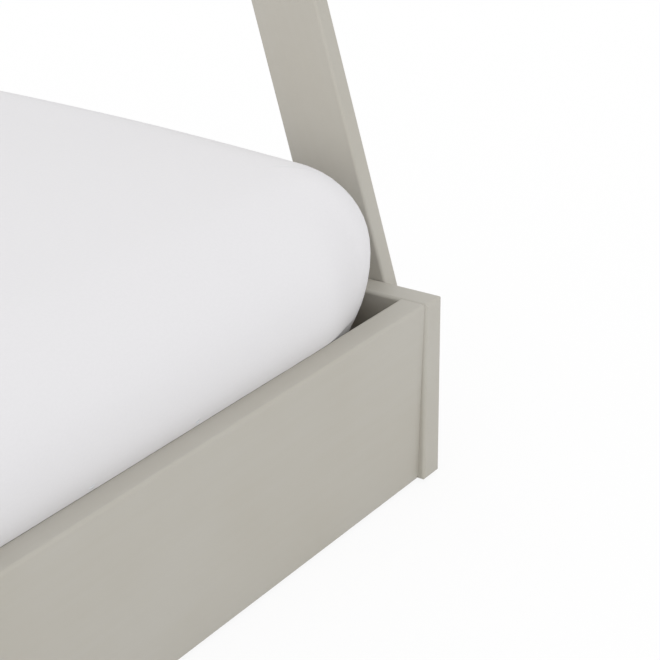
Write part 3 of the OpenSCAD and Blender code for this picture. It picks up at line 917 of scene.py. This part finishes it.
def white_percale():
    material, tree, shader = new_finish(
        "white_percale", 0.75, Specular_IOR_Level=0.25, Sheen_Weight=0.08, Sheen_Roughness=0.5)
    cloth = add(tree, "ShaderNodeUVMap", uv_map="cloth").outputs["UV"]
    scale = 1 / (THREAD_PITCH * WAVES_PER_UNIT)
    warp, weft = (waves(tree, cloth, axis, scale, distortion=0.6) for axis in "XY")
    weave = blend(tree, warp, 0.5, weft)
    slubs = speckle(tree, cloth, scale=420.0, detail=3.0)
    tone = stretch(tree, blend(tree, slubs, 0.7, weave), (0.35, 0.65))
    colour = mix_colours(tree, tone, screen(222, 221, 223), screen(224, 223, 225))
    tree.links.new(colour, shader.inputs["Base Color"])
    relief(tree, shader, weave, depth=0.00005, strength=0.1)
    return material


percale = white_percale()
sheet.data.materials.append(percale)
thickness = sheet.modifiers.new("cloth_thickness", "SOLIDIFY")
thickness.thickness = SHEET_T
thickness.offset = -1.0
print("threads every", THREAD_PITCH * 1000, "mm, cloth", SHEET_T * 1000, "mm")

# %% [markdown]

# %% [markdown]
# The elastic is a narrow ribbed band sewn along the hem. It follows the gathers, so it is
# drawn from the sheet's own last ring, walked in fine steps. Its section is a flat oval.

# %% A band along a closed line
def closed_path(points, step):
    """The same closed line with even steps."""
    co = np.array([tuple(p) for p in points])
    co = np.vstack([co, co[:1]])
    walked = np.concatenate([[0.0], np.cumsum(np.linalg.norm(np.diff(co, axis=0), axis=1))])
    count = int(walked[-1] / step)
    places = np.arange(count) * walked[-1] / count
    return np.stack([np.interp(places, walked, co[:, k]) for k in range(3)], axis=1), walked[-1]


def oval_section(width, thickness, count=10):
    turns = [2 * math.pi * k / count for k in range(count)]
    return [
        (
            math.copysign(abs(math.cos(t)) ** 0.5, math.cos(t)) * width / 2,
            math.copysign(abs(math.sin(t)) ** 0.8, math.sin(t)) * thickness / 2,
        )
        for t in turns
    ]


def band_along(name, path, section, lift):
    """A closed band whose width lies level, inside the path."""
    count, around = len(path), len(section)
    points, faces = [], []
    for i, place in enumerate(path):
        ahead = path[(i + 1) % count] - path[i - 1]
        inward = np.array([-ahead[1], ahead[0], 0.0]) / np.hypot(ahead[0], ahead[1])
        for across, up in section:
            points.append(place + inward * across + np.array([0, 0, up + lift]))
    for i in range(count):
        j = (i + 1) % count
        for k in range(around):
            n = (k + 1) % around
            faces.append((i * around + k, i * around + n, j * around + n, j * around + k))
    return new_piece(name, [tuple(p) for p in points], faces)


print("points in an oval section:", len(oval_section(1.0, 1.0)))

# %% Elastic along the hem
ELASTIC_W = 0.008
ELASTIC_T = 0.0012
ELASTIC_STEP = 0.004


def ribbed_elastic():
    material, tree, shader = new_finish("ribbed_elastic", 0.7, Specular_IOR_Level=0.3)
    space = piece_space(tree)
    ribs = maths(tree, "ADD", *(waves(tree, space, axis, scale=160.0) for axis in "XY"))
    tone = speckle(tree, space, scale=500.0)
    colour = mix_colours(tree, tone, screen(222, 222, 224), screen(232, 232, 232))
    tree.links.new(colour, shader.inputs["Base Color"])
    relief(tree, shader, ribs, depth=0.0003, strength=0.6)
    return material


hem_points = [sheet.data.vertices[i].co for i in sheet_rings[-1]]
hem_path, hem_length = closed_path(hem_points, ELASTIC_STEP)
elastic = band_along("hem_elastic", hem_path, oval_section(ELASTIC_W, ELASTIC_T), ELASTIC_T / 2)
elastic.data.materials.append(ribbed_elastic())
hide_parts("sheet_elastic")
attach(elastic, "mattress")
print("hem:", round(hem_length, 3), "m round, elastic points", len(elastic.data.vertices))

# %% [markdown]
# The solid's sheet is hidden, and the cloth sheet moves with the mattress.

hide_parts("fitted_sheet")
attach(sheet, "mattress")

# %% [markdown]
# Two webbing tapes under the slats keep them apart. Webbing is a thick flat weave with firm
# selvedges. It is stapled at each slat and hangs slack by a millimetre between them, so the
# strap is modelled as a ribbon whose height follows the slats, with rounded edges.

# %% Shape of a tape
TAPE_SAG = 0.0012
SELVEDGE = ((0.0004, 0.0002), (0.002, 0.0), (0.004, 0.00012))
TAPE_HOLLOW = 0.0001
slat_middles = [(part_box(n)[0].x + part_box(n)[1].x) / 2 for n in slats]
slat_pitch = slat_middles[1] - slat_middles[0]
slat_half = (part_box(slats[0])[1].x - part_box(slats[0])[0].x) / 2


def tape_drop(x):
    """How far the tape hangs below the slats' undersides."""
    off = abs((x - slat_middles[0] + slat_pitch / 2) % slat_pitch - slat_pitch / 2)
    free = (off - slat_half) / (slat_pitch / 2 - slat_half)
    return TAPE_SAG * math.sin(math.pi / 2 * free) if free > 0 else 0.0


def tape_section(width, thickness):
    """A flat section with rounded selvedges, a little thicker than the middle."""
    half = width / 2
    upper = [(-half + across, down) for across, down in SELVEDGE]
    upper += [(half * k / 4, TAPE_HOLLOW) for k in (-2, -1, 0, 1, 2)]
    upper += [(-a, b) for a, b in reversed(upper[:3])]
    lower = [(a, thickness - b) for a, b in reversed(upper)]
    return [(-half, thickness / 2)] + upper + [(half, thickness / 2)] + lower


print("slats every", round(slat_pitch, 4), "m, free between them", round(slat_pitch - 2 * slat_half, 4))

# %% Webbing tapes
TAPE_STEP = 0.004


def webbing_weave():
    material, tree, shader = new_finish(
        "webbing_weave", 0.8, Specular_IOR_Level=0.3, Sheen_Weight=0.15)
    space = piece_space(tree)
    ribs = waves(tree, space, "X", scale=150.0, distortion=0.5)
    cords = waves(tree, space, "Y", scale=210.0, distortion=0.3)
    weave = blend(tree, ribs, 0.5, cords)
    tone = blend(tree, weave, 0.5, speckle(tree, space, scale=400.0, detail=3.0))
    tone = stretch(tree, tone, (0.3, 0.7))
    colour = mix_colours(tree, tone, screen(186, 179, 162), screen(217, 212, 198))
    tree.links.new(colour, shader.inputs["Base Color"])
    relief(tree, shader, weave, depth=0.0005, strength=0.7)
    return material


def webbing_tape(name, node):
    """A strap in the place of one tape solid."""
    low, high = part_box(node)
    middle_y = (low.y + high.y) / 2
    section = tape_section(high.y - low.y, high.z - low.z)
    count = int((high.x - low.x) / TAPE_STEP)
    points, faces = [], []
    for i in range(count + 1):
        x = low.x + (high.x - low.x) * i / count
        top = high.z - tape_drop(x)
        points += [(x, middle_y + across, top - down) for across, down in section]
    around = len(section)
    for i in range(count):
        for k in range(around):
            n = (k + 1) % around
            a, b = i * around, (i + 1) * around
            faces.append((a + k, b + k, b + n, a + n))
    faces.append(tuple(range(around)))
    faces.append(tuple(count * around + k for k in reversed(range(around))))
    return new_piece(name, points, faces)


webbing = webbing_weave()
for side in ("left", "right"):
    tape = webbing_tape(f"{side}_webbing", f"{side}_slat_tape")
    tape.data.materials.append(webbing)
    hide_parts(f"{side}_slat_tape")
    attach(tape, "bed_frame")
    print(tape.name, "faces:", len(tape.data.polygons))

# %% [markdown]
# The studio is a white dome over a pale floor, as in the photograph, where hardly a shadow
# shows. The dome gives more light from the head end than from the foot, because the faces that
# look that way are as light as the others, although the mattress takes the floor's light from
# them. The camera and reflections see the dome as pure white, and the floor nearly so. Under
# the deck the floor is left as it is lit, so that it is dark between the slats.

# %% Dome and floor
WHITE = (1.0, 1.0, 1.0)
DOME_LIGHT = 0.97
DOME_LEAN = 0.56
BRIGHT_SIDE = Vector((-0.92, -0.05, 0.38))
FLOOR_HALF = 12.0
FLOOR_COLOUR = screen(244, 244, 244)
FLOOR_GLOW = 0.90
BOARD_MIDDLE_X = sum(corner.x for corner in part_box("foot_end_board")) / 2
RAIL_MIDDLE_Y = sum(corner.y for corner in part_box("left_side_rail")) / 2


def seen_directly(tree):
    """1 for rays from the camera, from gloss or through glass, and 0 for all others."""
    rays = add(tree, "ShaderNodeLightPath").outputs
    either = maths(tree, "MAXIMUM", rays["Is Camera Ray"], rays["Is Glossy Ray"])
    return maths(tree, "MAXIMUM", either, rays["Is Transmission Ray"])


def white_dome():
    world = bpy.data.worlds.new("white_dome")
    world.use_nodes = True
    tree = world.node_tree
    tree.nodes.clear()
    direction = add(tree, "ShaderNodeTexCoord").outputs["Generated"]
    lean = add(tree, "ShaderNodeVectorMath", {0: direction, 1: BRIGHT_SIDE}, operation="DOT_PRODUCT")
    darkest, lightest = DOME_LIGHT * (1 - DOME_LEAN), DOME_LIGHT * (1 + DOME_LEAN)
    strength = stretch(tree, lean.outputs["Value"], (-1, 1), (darkest, lightest))
    light = add(tree, "ShaderNodeBackground", {"Color": opaque(WHITE), "Strength": strength})
    plain = add(tree, "ShaderNodeBackground", {"Color": opaque(WHITE), "Strength": 1.0})
    mixed = add(tree, "ShaderNodeMixShader", {
        0: seen_directly(tree), 1: light.outputs[0], 2: plain.outputs[0]})
    add(tree, "ShaderNodeOutputWorld", {"Surface": mixed.outputs[0]})
    return world


def outside_bed(tree):
    """0 on the floor inside the box of boards and 1 round it. The step is under the boards."""
    place = add(tree, "ShaderNodeSeparateXYZ", {0: piece_space(tree)}).outputs
    beyond_x = maths(tree, "GREATER_THAN", maths(tree, "ABSOLUTE", place["X"], 0.0), BOARD_MIDDLE_X)
    beyond_y = maths(tree, "GREATER_THAN", maths(tree, "ABSOLUTE", place["Y"], 0.0), RAIL_MIDDLE_Y)
    return maths(tree, "MAXIMUM", beyond_x, beyond_y)


def pale_floor():
    material, tree, shader = new_finish("pale_floor", 0.9, Specular_IOR_Level=0.1)
    shader.inputs["Base Color"].default_value = opaque(FLOOR_COLOUR)
    glow = add(tree, "ShaderNodeEmission", {"Color": opaque(WHITE), "Strength": 1.0})
    share = maths(tree, "MULTIPLY", seen_directly(tree), FLOOR_GLOW)
    share = maths(tree, "MULTIPLY", share, outside_bed(tree))
    mixed = add(tree, "ShaderNodeMixShader", {0: share, 1: shader.outputs[0], 2: glow.outputs[0]})
    tree.links.new(mixed.outputs[0], tree.nodes["Material Output"].inputs["Surface"])
    return material


scene.world = white_dome()
floor_corners = [(FLOOR_HALF * x, FLOOR_HALF * y, 0) for x, y in ((-1, -1), (1, -1), (1, 1), (-1, 1))]
studio_floor = new_piece("studio_floor", floor_corners, [(0, 1, 2, 3)])
studio_floor.data.materials.append(pale_floor())
print("dome", DOME_LIGHT, "floor", 2 * FLOOR_HALF, "m")

# %% [markdown]
# A soft lamp is a large one. Its place is chosen by what it should brighten: it stands low in
# front of the foot's right corner, so that its light gets in under the mattress's shoulder and
# the rail dims slowly towards the head.

# %% Soft lamp
LAMP_PLACE = Vector((1.0, -2.1, 0.55))
LAMP_AIM = Vector((0.55, -0.38, 0.15))
LAMP_SIZE = 1.1
LAMP_WATTS = 1.0

lamp_data = bpy.data.lights.new("soft_lamp", "AREA")
lamp_data.shape = "DISK"
lamp_data.size = LAMP_SIZE
lamp_data.energy = LAMP_WATTS
lamp = bpy.data.objects.new("soft_lamp", lamp_data)
scene.collection.objects.link(lamp)
lamp.location = LAMP_PLACE
lamp.rotation_mode = "QUATERNION"
lamp.rotation_quaternion = (LAMP_AIM - LAMP_PLACE).to_track_quat("-Z", "Y")
scene.view_settings.view_transform = "Standard"
print("lamp:", LAMP_WATTS, "W, facing", LAMP_AIM)
